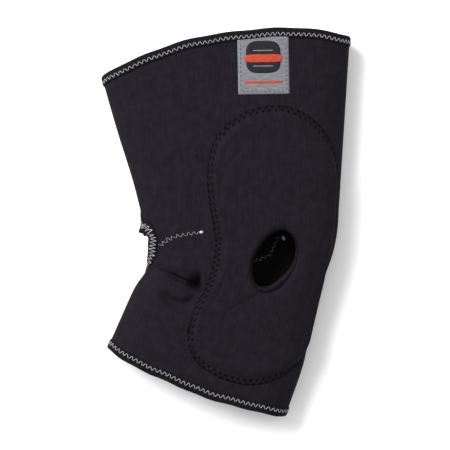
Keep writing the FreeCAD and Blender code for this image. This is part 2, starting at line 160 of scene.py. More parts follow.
@dataclass(frozen=True)
class SleeveForm:
    """The bent, flattened tube that every piece of cloth is laid on, in millimetres.

    A pattern place is (girth, height, lift): girth runs round the sleeve from the front
    centre line, positive over the front fold; height runs up the leg from the knee; lift
    is outwards from the outer face of the wall. Each back push is how far the back fold
    stands out, the height where it does so most, and the length it dies away over.
    """

    knee_width: float = 138.0
    thigh_width: float = 190.0
    calf_width: float = 144.0
    thigh_length: float = 153.0
    calf_length: float = 96.0
    thigh_bulge: float = 16.4
    thigh_tilt: float = 5.5
    calf_bulge: float = 6.5
    calf_more: float = 3.0
    calf_tilt: float = 1.5
    thigh_lean: float = 6.0
    calf_lean: float = 22.0
    bend_half: float = 30.0
    flare: float = 1.0
    lay_height: float = 40.0
    settle: float = 0.2
    front_roll: float = 0.36
    hinge_back: float = 17.0
    crown: float = 0.34
    flat_height: float = 1.5
    flat_half: float = 26.0
    flat_fade: Tuple[float, float] = (0.95, 1.6)
    level: float = 0.8
    front_draw: float = 6.8
    draw_height: float = -20.0
    draw_spread: float = 24.0
    back_pushes: Tuple[Tuple[float, float, float], ...] = (
        (1.4, 4.0, 14.0), (4.5, 25.0, 7.0), (-3.4, -33.0, 12.0), (-1.5, 65.0, 32.0))
    slow_wave: float = 0.45
    quick_wave: float = 0.16
    knee_at: Tuple[float, float] = (0.0, 0.0)
    tuck: Tuck = Tuck()
    pad_fold: PadFold = PadFold()

    @property
    def half_height(self) -> float:
        """Half the lying height, which is also the radius of each fold."""
        return self.lay_height / 2

    @property
    def middle(self) -> float:
        """Height of the tube's middle above the table."""
        return self.half_height - self.settle

    def heading(self, s: np.ndarray) -> np.ndarray:
        """Return the lean of the tube at s, in radians from +Y."""
        turn = np.clip(s / self.bend_half, -1.0, 1.0)
        middle = (self.thigh_lean - self.calf_lean) / 2
        return np.radians(middle + turn * (self.thigh_lean + self.calf_lean) / 2)

    def centre(self, s: np.ndarray) -> Tuple[np.ndarray, np.ndarray]:
        """Return the tube's centre line at s, in the row frame."""
        steps = 24
        x = np.full_like(s, self.knee_at[0])
        y = np.full_like(s, self.knee_at[1])
        for i in range(steps):
            a = self.heading(s * (i + 0.5) / steps)
            x = x - np.sin(a) * s / steps
            y = y + np.cos(a) * s / steps
        return x, y

    def half_width(self, s: np.ndarray) -> np.ndarray:
        """Return half the flattened width at s."""
        end = np.where(s >= 0, self.thigh_width, self.calf_width)
        length = np.where(s >= 0, self.thigh_length, self.calf_length)
        share = (np.abs(s) / length) ** self.flare
        return (self.knee_width + (end - self.knee_width) * share) / 2

    def half_girth(self, s: np.ndarray) -> np.ndarray:
        """Return half the way round the sleeve at s."""
        flat = self.half_width(s) - self.half_height
        return 2 * flat + math.pi * self.half_height

    def flat_and_front(self, s: float) -> Tuple[float, float]:
        """Return half the flat width at s, and how far the front is rolled from its middle."""
        a = float(self.half_width(np.array([s]))[0])
        return a - self.half_height, self.front_roll * a

    def near(self, s: float, v: float) -> float:
        """Return the girth of a place on the near layer, v across from the centre line."""
        flat, front = self.flat_and_front(s)
        if abs(v) <= flat:
            return v - front
        over = min(1.0, (abs(v) - flat) / self.half_height)
        return math.copysign(flat + self.half_height * math.asin(over), v) - front

    def far(self, s: float, v: float) -> float:
        """Return the girth of a place on the far layer, past the back fold."""
        flat, front = self.flat_and_front(s)
        return -(flat + front) - math.pi * self.half_height - (flat + v)

    def top_hem(self, v: np.ndarray) -> np.ndarray:
        """Return the height of the thigh hem, v being -1 to 1 across the sleeve."""
        return self.thigh_length + self.thigh_bulge * (1 - v * v) + self.thigh_tilt * v

    def low_hem(self, v: np.ndarray) -> np.ndarray:
        """Return the height of the calf hem, v being -1 to 1 across the sleeve."""
        level = self.calf_length + self.calf_more - self.calf_tilt * v
        return -(level + self.calf_bulge * (1 - v * v))

    def across(self, g: np.ndarray, s: np.ndarray) -> Tuple[np.ndarray, np.ndarray, np.ndarray]:
        """Return v across the sleeve, z above its middle and the half width there."""
        a = self.half_width(s)
        b = self.half_height
        flat = a - b
        arc = math.pi * b
        whole = 2 * (2 * flat + arc)
        q = np.mod(g + self.front_roll * a + flat + arc / 2, whole)
        v = np.empty_like(q)
        z = np.empty_like(q)
        turn = (q - arc / 2) / b
        back = q < arc / 2
        v[back] = -flat[back] + b * np.sin(turn[back])
        z[back] = b * np.cos(turn[back])
        start = arc / 2
        on_near = (q >= start) & (q < start + 2 * flat)
        v[on_near] = q[on_near] - start - flat[on_near]
        z[on_near] = b
        fold = (q >= start + 2 * flat) & (q < start + 2 * flat + arc)
        turn = (q - start - 2 * flat) / b
        v[fold] = flat[fold] + b * np.sin(turn[fold])
        z[fold] = b * np.cos(turn[fold])
        on_far = (q >= start + 2 * flat + arc) & (q < start + 4 * flat + arc)
        v[on_far] = flat[on_far] - (q - start - 2 * flat - arc)[on_far]
        z[on_far] = -b
        rest = q >= start + 4 * flat + arc
        turn = (q - start - 4 * flat - arc) / b
        v[rest] = -flat[rest] - b * np.sin(turn[rest])
        z[rest] = -b * np.cos(turn[rest])
        return v, z, a

    def surface(self, g: np.ndarray, s: np.ndarray) -> np.ndarray:
        """Return the outer face of the wall at girth g and height s."""
        v, z, a = self.across(g, s)
        flat = a - self.half_height
        near_by, far_off = self.flat_fade
        open_back = 1.0 - smooth(np.abs(s - self.flat_height), near_by * self.flat_half,
                                 far_off * self.flat_half)
        open_back = open_back * np.where(v < -flat, 1.0, 0.0)
        turn = np.arctan2(np.clip(-v - flat, 0.0, None), np.clip(z, 1e-6, None))
        spread = -flat - self.half_height * turn * 2 / math.pi
        v = np.where(z > 0, v + open_back * (spread - v), v)
        z = z + self.level * open_back * (self.half_height - np.abs(z))
        ratio = v / a
        draw = self.front_draw * hump(s, self.draw_height, self.draw_spread)
        draw = draw * np.clip(ratio, 0.0, 1.0) ** 2
        push = sum(size * hump(s, height, over) for size, height, over in self.back_pushes)
        v = v - draw - push * np.clip(-ratio, 0.0, 1.0) ** 3
        high = np.clip(z / self.half_height, 0.0, 1.0)
        z = np.where(z > 0, z * (1 - self.crown * np.abs(ratio) ** 3), z)
        cx, cy = self.centre(s)
        lean = self.heading(s)
        x = cx + np.cos(lean) * v
        y = cy + np.sin(lean) * v
        near = smooth(high, 0.2, 0.95)
        z = z + near * (self.tuck.height(x, y) + self.pad_fold.height(x, y))
        z = z + near * self.waves(x, y)
        return np.stack([x, y, z + self.middle], axis=1)

    def waves(self, x: np.ndarray, y: np.ndarray) -> np.ndarray:
        """Return the slow unevenness of soft foam cloth, in millimetres."""
        slow = np.sin(x / 31.0 + 0.7 * np.sin(y / 43.0)) * np.sin(y / 37.0 + 1.3)
        quick = np.sin(x / 11.0 + y / 17.0) * np.sin(y / 13.0 - x / 23.0 + 0.4)
        return self.slow_wave * slow + self.quick_wave * quick

    def lay(self, pattern: np.ndarray) -> np.ndarray:
        """Lay pattern places on the tube.

        Args:
            pattern: Rows of (girth, height, lift) in millimetres.

        Returns:
            Rows of (x, y, z) in metres, in the row frame.
        """
        g, s, d = pattern[:, 0], pattern[:, 1], pattern[:, 2]
        step = 0.35
        here = self.surface(g, s)
        round_it = self.surface(g + step, s) - self.surface(g - step, s)
        up_it = self.surface(g, s + step) - self.surface(g, s - step)
        normal = np.cross(round_it, up_it)
        normal /= np.linalg.norm(normal, axis=1)[:, None] + 1e-12
        return (here + normal * d[:, None]) * MM


def make_form() -> SleeveForm:
    """Return the sleeve's form, placed by the knee hinge of the frame."""
    hinge = frame["joints"][0]["pos_m"]
    plain = SleeveForm()
    lean = float(plain.heading(np.array([0.0]))[0])
    x = hinge[0] / MM + plain.hinge_back * math.cos(lean)
    y = hinge[1] / MM + plain.hinge_back * math.sin(lean)
    return SleeveForm(knee_at=(x, y))


# ---- finishes ------------------------------------------------------------------------
Colour = Tuple[float, float, float]


def linear(red: int, green: int, blue: int) -> Colour:
    """Return a display colour as linear light."""
    return tuple(((c / 255 + 0.055) / 1.055) ** 2.4 if c > 10 else c / 255 / 12.92
                 for c in (red, green, blue))


class Nodes:
    """Short ways to add and join shader nodes in one tree."""

    def __init__(self, tree: bpy.types.NodeTree) -> None:
        """Keep the tree."""
        self.tree = tree

    def add(self, kind: str, **settings: object) -> bpy.types.Node:
        """Add a node and set its properties."""
        node = self.tree.nodes.new(kind)
        for key, value in settings.items():
            setattr(node, key, value)
        return node

    def join(self, source: object, target: object) -> None:
        """Join an output to an input."""
        self.tree.links.new(source, target)

    def own_map(self, name: str = "cloth") -> object:
        """Return one of the piece's own maps."""
        return self.add("ShaderNodeUVMap", uv_map=name).outputs[0]

    def split(self, vector: object) -> Sequence[object]:
        """Return the parts of a vector."""
        parts = self.add("ShaderNodeSeparateXYZ")
        self.join(vector, parts.inputs[0])
        return parts.outputs

    def stretched(self, vector: object, scale: Tuple[float, float, float]) -> object:
        """Return a vector with each part scaled."""
        node = self.add("ShaderNodeMapping")
        node.inputs["Scale"].default_value = scale
        self.join(vector, node.inputs["Vector"])
        return node.outputs[0]

    def grain(self, vector: object, scale: float, detail: float = 2.0) -> object:
        """Return soft noise over a vector."""
        node = self.add("ShaderNodeTexNoise")
        node.inputs["Scale"].default_value = scale
        node.inputs["Detail"].default_value = detail
        self.join(vector, node.inputs["Vector"])
        return node.outputs[0]

    def wave(self, turns: object) -> object:
        """Return a sine wave, given how many turns along it a place is."""
        return self.math("SINE", self.math("MULTIPLY", turns, 2 * math.pi))

    def blend(self, one: object, two: object, share_one: float, share_two: float) -> object:
        """Return the sum of two outputs, each taken by its share."""
        return self.math("ADD", self.math("MULTIPLY", one, share_one),
                         self.math("MULTIPLY", two, share_two))

    def math(self, kind: str, one: object, two: object = 0.0, three: object = None) -> object:
        """Add a Math node; each value is a number or an output.

        Args:
            kind: The operation.
            one: First value.
            two: Second value.
            three: Third value, where the operation has one.

        Returns:
            The node's output.
        """
        node = self.add("ShaderNodeMath", operation=kind)
        for socket, value in zip(node.inputs, (one, two, three)):
            if value is None:
                continue
            if isinstance(value, (int, float)):
                socket.default_value = value
            else:
                self.join(value, socket)
        return node.outputs[0]


def new_group(name: str, inputs: Sequence[Tuple[str, str, float]],
              outputs: Sequence[Tuple[str, str]]) -> Tuple[Nodes, Dict, Dict]:
    """Start a shader node group.

    Args:
        name: The group's name.
        inputs: Name, socket kind and default of each input.
        outputs: Name and socket kind of each output.

    Returns:
        The node helper, the inside inputs and the inside outputs by name.
    """
    tree = bpy.data.node_groups.new(name, "ShaderNodeTree")
    for label, kind, default in inputs:
        socket = tree.interface.new_socket(label, in_out="INPUT", socket_type=kind)
        if kind == "NodeSocketFloat":
            socket.default_value = default
    for label, kind in outputs:
        tree.interface.new_socket(label, in_out="OUTPUT", socket_type=kind)
    nodes = Nodes(tree)
    start = nodes.add("NodeGroupInput")
    end = nodes.add("NodeGroupOutput")
    return nodes, {s.name: s for s in start.outputs}, {s.name: s for s in end.inputs}


def knit_group() -> bpy.types.NodeTree:
    """Build the fine knit of a jersey facing: wales up the leg, courses round it."""
    nodes, given, out = new_group(
        "fine_knit",
        [("Cloth", "NodeSocketVector", 0.0), ("Wale", "NodeSocketFloat", 0.9),
         ("Course", "NodeSocketFloat", 0.8)],
        [("Height", "NodeSocketFloat"), ("Mottle", "NodeSocketFloat")])
    across, up = nodes.split(given["Cloth"])[:2]
    ribs = nodes.wave(nodes.math("DIVIDE", across, given["Wale"]))
    course = nodes.math("DIVIDE", up, given["Course"])
    slant = nodes.math("MULTIPLY", nodes.math("ABSOLUTE", ribs), 0.5)
    loops = nodes.wave(nodes.math("ADD", course, slant))
    fuzz = nodes.grain(given["Cloth"], 1.1, 3.0)
    stitch = nodes.blend(ribs, loops, 0.35, 0.25)
    nodes.join(nodes.math("ADD", stitch, nodes.math("MULTIPLY", fuzz, 0.8)), out["Height"])
    slow = nodes.grain(given["Cloth"], 0.16, 4.0)
    streak = nodes.grain(nodes.stretched(given["Cloth"], (1.0, 0.06, 1.0)), 0.9)
    both = nodes.blend(slow, streak, 0.55, 0.45)
    nodes.join(both, out["Mottle"])
    return nodes.tree


def pit_group() -> bpy.types.NodeTree:
    """Build the needle pits of a zigzag seam: two staggered rows of small dents, whose mask also
    paints shade into them.
    """
    nodes, given, out = new_group(
        "needle_pits",
        [("Seam", "NodeSocketVector", 0.0), ("Pitch", "NodeSocketFloat", 4.9),
         ("Half", "NodeSocketFloat", 2.2), ("Radius", "NodeSocketFloat", 1.0)],
        [("Pit", "NodeSocketFloat"), ("Band", "NodeSocketFloat")])
    along, off = nodes.split(given["Seam"])[:2]
    total = None
    for sign, shift in ((1.0, 0.0), (-1.0, 0.5)):
        turn = nodes.math("ADD", nodes.math("DIVIDE", along, given["Pitch"]), shift + 0.5)
        turn = nodes.math("SUBTRACT", nodes.math("FRACT", turn), 0.5)
        du = nodes.math("MULTIPLY", turn, given["Pitch"])
        row = nodes.math("MULTIPLY", given["Half"], sign)
        dv = nodes.math("SUBTRACT", off, row)
        far = nodes.math("SQRT", nodes.math("ADD", nodes.math("MULTIPLY", du, du),
                                            nodes.math("MULTIPLY", dv, dv)))
        dent = nodes.math("SUBTRACT", 1.0, nodes.math("DIVIDE", far, given["Radius"]))
        dent = nodes.math("MAXIMUM", dent, 0.0)
        total = dent if total is None else nodes.math("MAXIMUM", total, dent)
    nodes.join(total, out["Pit"])
    wide = nodes.math("DIVIDE", nodes.math("ABSOLUTE", off), given["Half"])
    band = nodes.math("SUBTRACT", 1.3, wide)
    band = nodes.math("MINIMUM", nodes.math("MAXIMUM", band, 0.0), 1.0)
    nodes.join(band, out["Band"])
    return nodes.tree


@dataclass(frozen=True)
class Finish:
    """What every finish of this sleeve shares."""

    name: str
    colour: Colour
    roughness: float = 0.85
    sheen: float = 0.0
    specular: float = 0.3

    def start(self) -> Tuple[bpy.types.Material, Nodes, bpy.types.Node]:
        """Return a fresh material, its node helper and its shader."""
        material = bpy.data.materials.new(self.name)
        material.use_nodes = True
        nodes = Nodes(material.node_tree)
        shader = material.node_tree.nodes["Principled BSDF"]
        shader.inputs["Base Color"].default_value = (*self.colour, 1)
        shader.inputs["Roughness"].default_value = self.roughness
        shader.inputs["Specular IOR Level"].default_value = self.specular
        shader.inputs["Sheen Weight"].default_value = self.sheen
        shader.inputs["Sheen Roughness"].default_value = 0.45
        shader.inputs["Sheen Tint"].default_value = (0.75, 0.7, 0.8, 1)
        return material, nodes, shader

    def shade(self, nodes: Nodes, shader: bpy.types.Node, mask: object,
              dark: float, light: float) -> object:
        """Spread the colour from dark to light by a mask.

        Args:
            nodes: The node helper.
            shader: The shader to feed.
            mask: An output from 0 to 1.
            dark: Share of the colour where the mask is 0.
            light: Share of the colour where the mask is 1.

        Returns:
            The mix node's colour output.
        """
        mix = nodes.add("ShaderNodeMix", data_type="RGBA")
        low = tuple(c * dark for c in self.colour)
        high = tuple(c * light for c in self.colour)
        mix.inputs[6].default_value = (*low, 1)
        mix.inputs[7].default_value = (*high, 1)
        nodes.join(mask, mix.inputs[0])
        nodes.join(mix.outputs[2], shader.inputs["Base Color"])
        return mix.outputs[2]

    def bump(self, nodes: Nodes, shader: bpy.types.Node, height: object,
             strength: float, distance: float) -> None:
        """Feed a bump of the given height to the shader."""
        node = nodes.add("ShaderNodeBump")
        node.inputs["Strength"].default_value = strength
        node.inputs["Distance"].default_value = distance
        nodes.join(height, node.inputs["Height"])
        nodes.join(node.outputs[0], shader.inputs["Normal"])


@dataclass(frozen=True)
class JerseyFinish(Finish):
    """Knitted jersey bonded to foam, with needle pits where it is sewn."""

    pits: bool = False
    pit_half: float = 1.5
    pit_radius: float = 1.4
    # Near-black colour painted into the needle pits as shade.
    pit_shade_colour: Colour = (0.0015, 0.0014, 0.0017)
    pitch: float = 4.9
    wale: float = 0.95
    course: float = 0.8

    def build(self, groups: Dict[str, bpy.types.NodeTree]) -> bpy.types.Material:
        """Return the material."""
        material, nodes, shader = self.start()
        knit = nodes.add("ShaderNodeGroup", node_tree=groups["knit"])
        knit.inputs["Wale"].default_value = self.wale
        knit.inputs["Course"].default_value = self.course
        nodes.join(nodes.own_map(), knit.inputs["Cloth"])
        mask = nodes.add("ShaderNodeMapRange")
        mask.inputs["From Min"].default_value = 0.35
        mask.inputs["From Max"].default_value = 0.65
        nodes.join(knit.outputs["Mottle"], mask.inputs["Value"])
        colour = self.shade(nodes, shader, mask.outputs[0], 0.74, 1.28)
        height = knit.outputs["Height"]
        if self.pits:
            pits = nodes.add("ShaderNodeGroup", node_tree=groups["pits"])
            pits.inputs["Pitch"].default_value = self.pitch
            pits.inputs["Half"].default_value = self.pit_half
            pits.inputs["Radius"].default_value = self.pit_radius
            nodes.join(nodes.own_map("seam"), pits.inputs["Seam"])
            # Painted shade: the colour goes dark in the needle pits, standing in for the shade
            # that falls into them; the dent below is a real bump.
            deep = nodes.math("MULTIPLY", pits.outputs["Pit"], 1.7)
            deep = nodes.math("MINIMUM", deep, 1.0)
            dark = nodes.add("ShaderNodeMix", data_type="RGBA")
            dark.inputs[7].default_value = (*self.pit_shade_colour, 1)
            nodes.join(deep, dark.inputs[0])
            nodes.join(colour, dark.inputs[6])
            nodes.join(dark.outputs[2], shader.inputs["Base Color"])
            dent = nodes.math("MULTIPLY", pits.outputs["Pit"], 6.0)
            height = nodes.math("SUBTRACT", height, dent)
        self.bump(nodes, shader, height, 0.5, 0.00022)
        return material


@dataclass(frozen=True)
class ThreadFinish(Finish):
    """Twisted sewing thread; the twist follows the thread's own map."""

    twist: float = 5.0
    plies: float = 2.0

    def build(self, groups: Dict[str, bpy.types.NodeTree]) -> bpy.types.Material:
        """Return the material."""
        material, nodes, shader = self.start()
        along, round_it = nodes.split(nodes.own_map())[:2]
        ply = nodes.wave(nodes.blend(along, round_it, self.twist, self.plies))
        mask = nodes.math("MULTIPLY_ADD", ply, 0.5, 0.5)
        self.shade(nodes, shader, mask, 0.72, 1.06)
        self.bump(nodes, shader, mask, 0.5, 0.0001)
        return material


@dataclass(frozen=True)
class TapeFinish(Finish):
    """Folded binding tape with fine ribs across it."""

    rib: float = 0.75

    def build(self, groups: Dict[str, bpy.types.NodeTree]) -> bpy.types.Material:
        """Return the material."""
        material, nodes, shader = self.start()
        cloth = nodes.own_map()
        ribs = nodes.wave(nodes.math("DIVIDE", nodes.split(cloth)[0], self.rib))
        fuzz = nodes.grain(cloth, 0.8, 4.0)
        mask = nodes.math("ADD", nodes.math("MULTIPLY", ribs, 0.18), fuzz)
        self.shade(nodes, shader, mask, 0.7, 1.35)
        self.bump(nodes, shader, mask, 0.6, 0.0002)
        return material


@dataclass(frozen=True)
class LabelFinish(Finish):
    """Satin-woven label, its fine weft running across it."""

    weft: float = 0.42
    warp: float = 0.6

    def build(self, groups: Dict[str, bpy.types.NodeTree]) -> bpy.types.Material:
        """Return the material."""
        material, nodes, shader = self.start()
        cloth = nodes.own_map()
        across, up = nodes.split(cloth)[:2]
        weft = nodes.wave(nodes.math("DIVIDE", up, self.weft))
        warp = nodes.wave(nodes.math("DIVIDE", across, self.warp))
        slub = nodes.grain(nodes.stretched(cloth, (0.25, 1.6, 1.0)), 0.7, 5.0)
        mask = nodes.math("ADD", nodes.blend(weft, warp, 0.12, 0.05), slub)
        self.shade(nodes, shader, mask, 0.3, 1.75)
        self.bump(nodes, shader, mask, 0.35, 0.00012)
        return material


class Wardrobe:
    """Builds each finish once and hands it out by slot name."""

    def __init__(self) -> None:
        """Build every finish."""
        groups = {"knit": knit_group(), "pits": pit_group()}
        finishes = [
            JerseyFinish("neoprene_facing", linear(23, 21, 26), 0.85, 0.0, 0.05),
            JerseyFinish("pad_cover", linear(23, 21, 26), 0.85, 0.0, 0.05, pits=True),
            JerseyFinish("lining", linear(19, 17, 18), 0.9, 0.0, 0.05),
            TapeFinish("binding", linear(16, 15, 18), 0.8, 0.0, 0.05),
            ThreadFinish("white_thread", linear(176, 175, 181), 0.6, 0.05),
            ThreadFinish("black_thread", linear(13, 12, 14), 0.7, 0.0, 0.05),
            LabelFinish("label", linear(97, 98, 102), 0.45, 0.05, 0.3),
            LabelFinish("emblem", linear(26, 26, 31), 0.6, 0.0, 0.1),
            LabelFinish("stripe", linear(158, 56, 37), 0.6, 0.0, 0.12),
            ThreadFinish("label_thread", linear(62, 62, 68), 0.6, 0.1),
        ]
        self.materials = {f.name: f.build(groups) for f in finishes}

    def dress(self, piece: bpy.types.Object, slot: str) -> None:
        """Give a piece its finish and name the record's slot."""
        piece.data.materials.clear()
        piece.data.materials.append(self.materials[slot])


# ---- making cloth --------------------------------------------------------------------
def to_object(bm: bmesh.types.BMesh, name: str, shade_smooth: bool = True) -> bpy.types.Object:
    """Turn a bmesh into an object in the scene."""
    mesh = bpy.data.meshes.new(name)
    for face in bm.faces:
        face.smooth = shade_smooth
    bm.to_mesh(mesh)
    bm.free()
    piece = bpy.data.objects.new(name, mesh)
    bpy.context.scene.collection.objects.link(piece)
    return piece


class Closing(Enum):
    """Which edges of a grid of cloth are joined to each other."""

    OPEN = 0
    BOTH = 1


@dataclass
class ClothMaker:
    """Cuts grids of cloth in the flat pattern and lays them on the sleeve's form."""

    form: SleeveForm
    wardrobe: Wardrobe
    weld: float = 0.00002
    bend_reach: float = 46.0

    def cut(self, bm: bmesh.types.BMesh, columns: int, rows: int, pattern: Pattern,
            seam: Optional[Pattern] = None) -> np.ndarray:
        """Lay one grid of cloth.

        Args:
            bm: The empty bmesh to fill.
            columns: Faces round the sleeve or along a seam.
            rows: Faces across.
            pattern: Gives (girth, height, lift) for the grid's 0 to 1 places.
            seam: Gives a seam's own map for the same places.

        Returns:
            The pattern places, one row to a vertex.
        """
        bmesh.ops.create_grid(bm, x_segments=columns, y_segments=rows, size=0.5)
        bm.verts.ensure_lookup_table()
        co = np.array([v.co for v in bm.verts])
        u, w = co[:, 0] + 0.5, co[:, 1] + 0.5
        places = pattern(u, w)
        where = self.form.lay(places)
        maps = {"cloth": places[:, :2]}
        if seam is not None:
            maps["seam"] = seam(u, w)
        for label in maps:
            bm.loops.layers.uv.new(label)
        layers = [(bm.loops.layers.uv[label], values) for label, values in maps.items()]
        for face in bm.faces:
            for loop in face.loops:
                for layer, values in layers:
                    loop[layer].uv = values[loop.vert.index]
        for vert, point in zip(bm.verts, where):
            vert.co = point
        return places

    def piece(self, name: str, slot: str, columns: int, rows: int, pattern: Pattern,
              closing: Closing, seam: Optional[Pattern] = None) -> bpy.types.Object:
        """Make a whole piece of cloth from one grid."""
        bm = bmesh.new()
        self.cut(bm, columns, rows, pattern, seam)
        if closing is Closing.BOTH:
            bmesh.ops.remove_doubles(bm, verts=bm.verts, dist=self.weld)
            bmesh.ops.recalc_face_normals(bm, faces=bm.faces)
        piece = to_object(bm, name)
        self.wardrobe.dress(piece, slot)
        return piece

    @staticmethod
    def thicken(piece: bpy.types.Object, thick: float) -> None:
        """Give a piece its thickness, inwards from its face."""
        solid = piece.modifiers.new("thickness", "SOLIDIFY")
        solid.thickness = thick * MM
        solid.offset = -1.0

    def cross_knee(self, piece: bpy.types.Object) -> None:
        """Attach a piece to the thigh, then unparent it and bake its placement into its mesh."""
        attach(piece, THIGH)
        piece.parent = None
        span = self.bend_reach
        ends = self.form.lay(np.array([[0.0, span, 0.0], [0.0, -span, 0.0]]))
        mid = self.form.centre(np.array([span, -span]))
        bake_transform(piece)


class Line:
    """A seam line in the flat pattern, measured along its own length."""

    LOOK = 0.6

    def __init__(self, points: np.ndarray, closed: bool,
                 form: Optional[SleeveForm] = None) -> None:
        """Measure the line through dense pattern points.

        Args:
            points: Rows of (girth, height).
            closed: Whether the line joins its own start.
            form: The form to measure on, where its bend crowds the pattern.
        """
        if closed:
            points = np.vstack([points, points[:1]])
        self.closed = closed
        self.points = points
        steps = np.hypot(*np.diff(points, axis=0).T)
        self.ease = np.ones(len(points))
        if form is not None:
            steps = self.laid_gap(form, points[1:], points[:-1])
            ahead = np.gradient(points, axis=0)
            ahead /= np.linalg.norm(ahead, axis=1)[:, None] + 1e-9
            left = 0.5 * np.stack([-ahead[:, 1], ahead[:, 0]], axis=1)
            wide = self.laid_gap(form, points + left, points - left)
            self.ease = 1.0 / np.clip(wide, 0.35, 1.5)
        self.at = np.concatenate([[0.0], np.cumsum(steps)])
        self.length = float(self.at[-1])

    @staticmethod
    def laid_gap(form: SleeveForm, one: np.ndarray, two: np.ndarray) -> np.ndarray:
        """Return the millimetres between two rows of pattern places once laid."""
        flat = np.zeros((len(one), 1))
        gap = form.lay(np.hstack([one, flat])) - form.lay(np.hstack([two, flat]))
        return np.linalg.norm(gap, axis=1) / MM

    def place(self, t: np.ndarray) -> np.ndarray:
        """Return (girth, height) at t millimetres along the line."""
        if self.closed:
            t = np.mod(t, self.length)
        return np.stack([np.interp(t, self.at, self.points[:, 0]),
                         np.interp(t, self.at, self.points[:, 1])], axis=1)

    def side(self, t: np.ndarray) -> np.ndarray:
        """Return the unit direction to the left of the line at t."""
        low, high = t - self.LOOK, t + self.LOOK
        if not self.closed:
            low, high = np.clip(low, 0, self.length), np.clip(high, 0, self.length)
        ahead = self.place(high) - self.place(low)
        ahead /= np.linalg.norm(ahead, axis=1)[:, None] + 1e-9
        where = np.mod(t, self.length) if self.closed else t
        ease = np.interp(where, self.at, self.ease)[:, None]
        return np.stack([-ahead[:, 1], ahead[:, 0]], axis=1) * ease


@dataclass(frozen=True)
class Row:
    """How one zigzag row is sewn, in millimetres.

    The lift is the height of the cloth under the thread, outwards from the wall; the sink
    is how far the thread's ends go into the cloth; narrow is the width at the far end.
    """

    width: float
    pitch: float
    thread: float
    lift: float
    sink: float
    seed: int
    narrow: Optional[float] = None

    def half(self, share: np.ndarray) -> np.ndarray:
        """Return half the width at shares of the way along the row."""
        end = self.width if self.narrow is None else self.narrow
        return (self.width + (end - self.width) * np.clip(share, 0, 1)) / 2


@dataclass
class Stitcher:
    """Sews zigzag rows of real thread along a line."""

    form: SleeveForm
    wardrobe: Wardrobe
    sides: int = 6
    rings: int = 6
    weld: float = 0.000004
    chance: float = 0.09
    uneven_thread: float = 0.12
    uneven_width: float = 0.35

    def sew(self, name: str, slot: str, line: Line, row: Row) -> bpy.types.Object:
        """Sew one zigzag row.

        Args:
            name: The piece's name.
            slot: The record's material slot.
            line: The line to follow.
            row: How the row is sewn.

        Returns:
            The row of stitches as one piece.
        """
        count = max(2, int(round(line.length / row.pitch)) * 2)
        step = line.length / count
        chance = np.random.default_rng(row.seed)
        bm = bmesh.new()
        uv = bm.loops.layers.uv.new("cloth")
        everything: List[np.ndarray] = []
        stitched: List[bmesh.types.BMVert] = []
        for i in range(count):
            fresh = bmesh.ops.create_grid(bm, x_segments=self.rings, y_segments=self.sides,
                                          size=0.5)["verts"]
            co = np.array([v.co for v in fresh])
            u, turn = co[:, 0] + 0.5, (co[:, 1] + 0.5) * 2 * math.pi
            jitter = chance.normal(0.0, self.chance, 3)
            side = 1.0 if i % 2 == 0 else -1.0
            fat = row.thread / 2 * (1 + self.uneven_thread * jitter[0])
            fat = fat * (0.8 + 0.2 * np.sin(math.pi * u))
            t = (i + u) * step + jitter[1]
            half = row.half(t / line.length) * (1 + self.uneven_width * jitter[2])
            off = side * half * (1 - 2 * u)
            dive = np.abs(2 * u - 1) ** 7
            wide = float(np.mean(half)) * 2
            slope = math.hypot(step, wide)
            t = t + fat * np.cos(turn) * (wide / slope)
            off = off + side * fat * np.cos(turn) * (step / slope)
            rise = row.lift + row.thread * 0.3 - row.sink * dive + fat * np.sin(turn)
            spot = line.place(t) + line.side(t) * off[:, None]
            everything.append(np.column_stack([spot, rise]))
            stitched.extend(fresh)
            for vert, a, b in zip(fresh, u, turn):
                for loop in vert.link_loops:
                    loop[uv].uv = (i * step + a * step, b / (2 * math.pi))
        for vert, point in zip(stitched, self.form.lay(np.vstack(everything))):
            vert.co = point
        bmesh.ops.remove_doubles(bm, verts=bm.verts, dist=self.weld)
        bmesh.ops.holes_fill(bm, edges=bm.edges, sides=self.sides)
        bmesh.ops.recalc_face_normals(bm, faces=bm.faces)
        piece = to_object(bm, name)
        self.wardrobe.dress(piece, slot)
        return piece


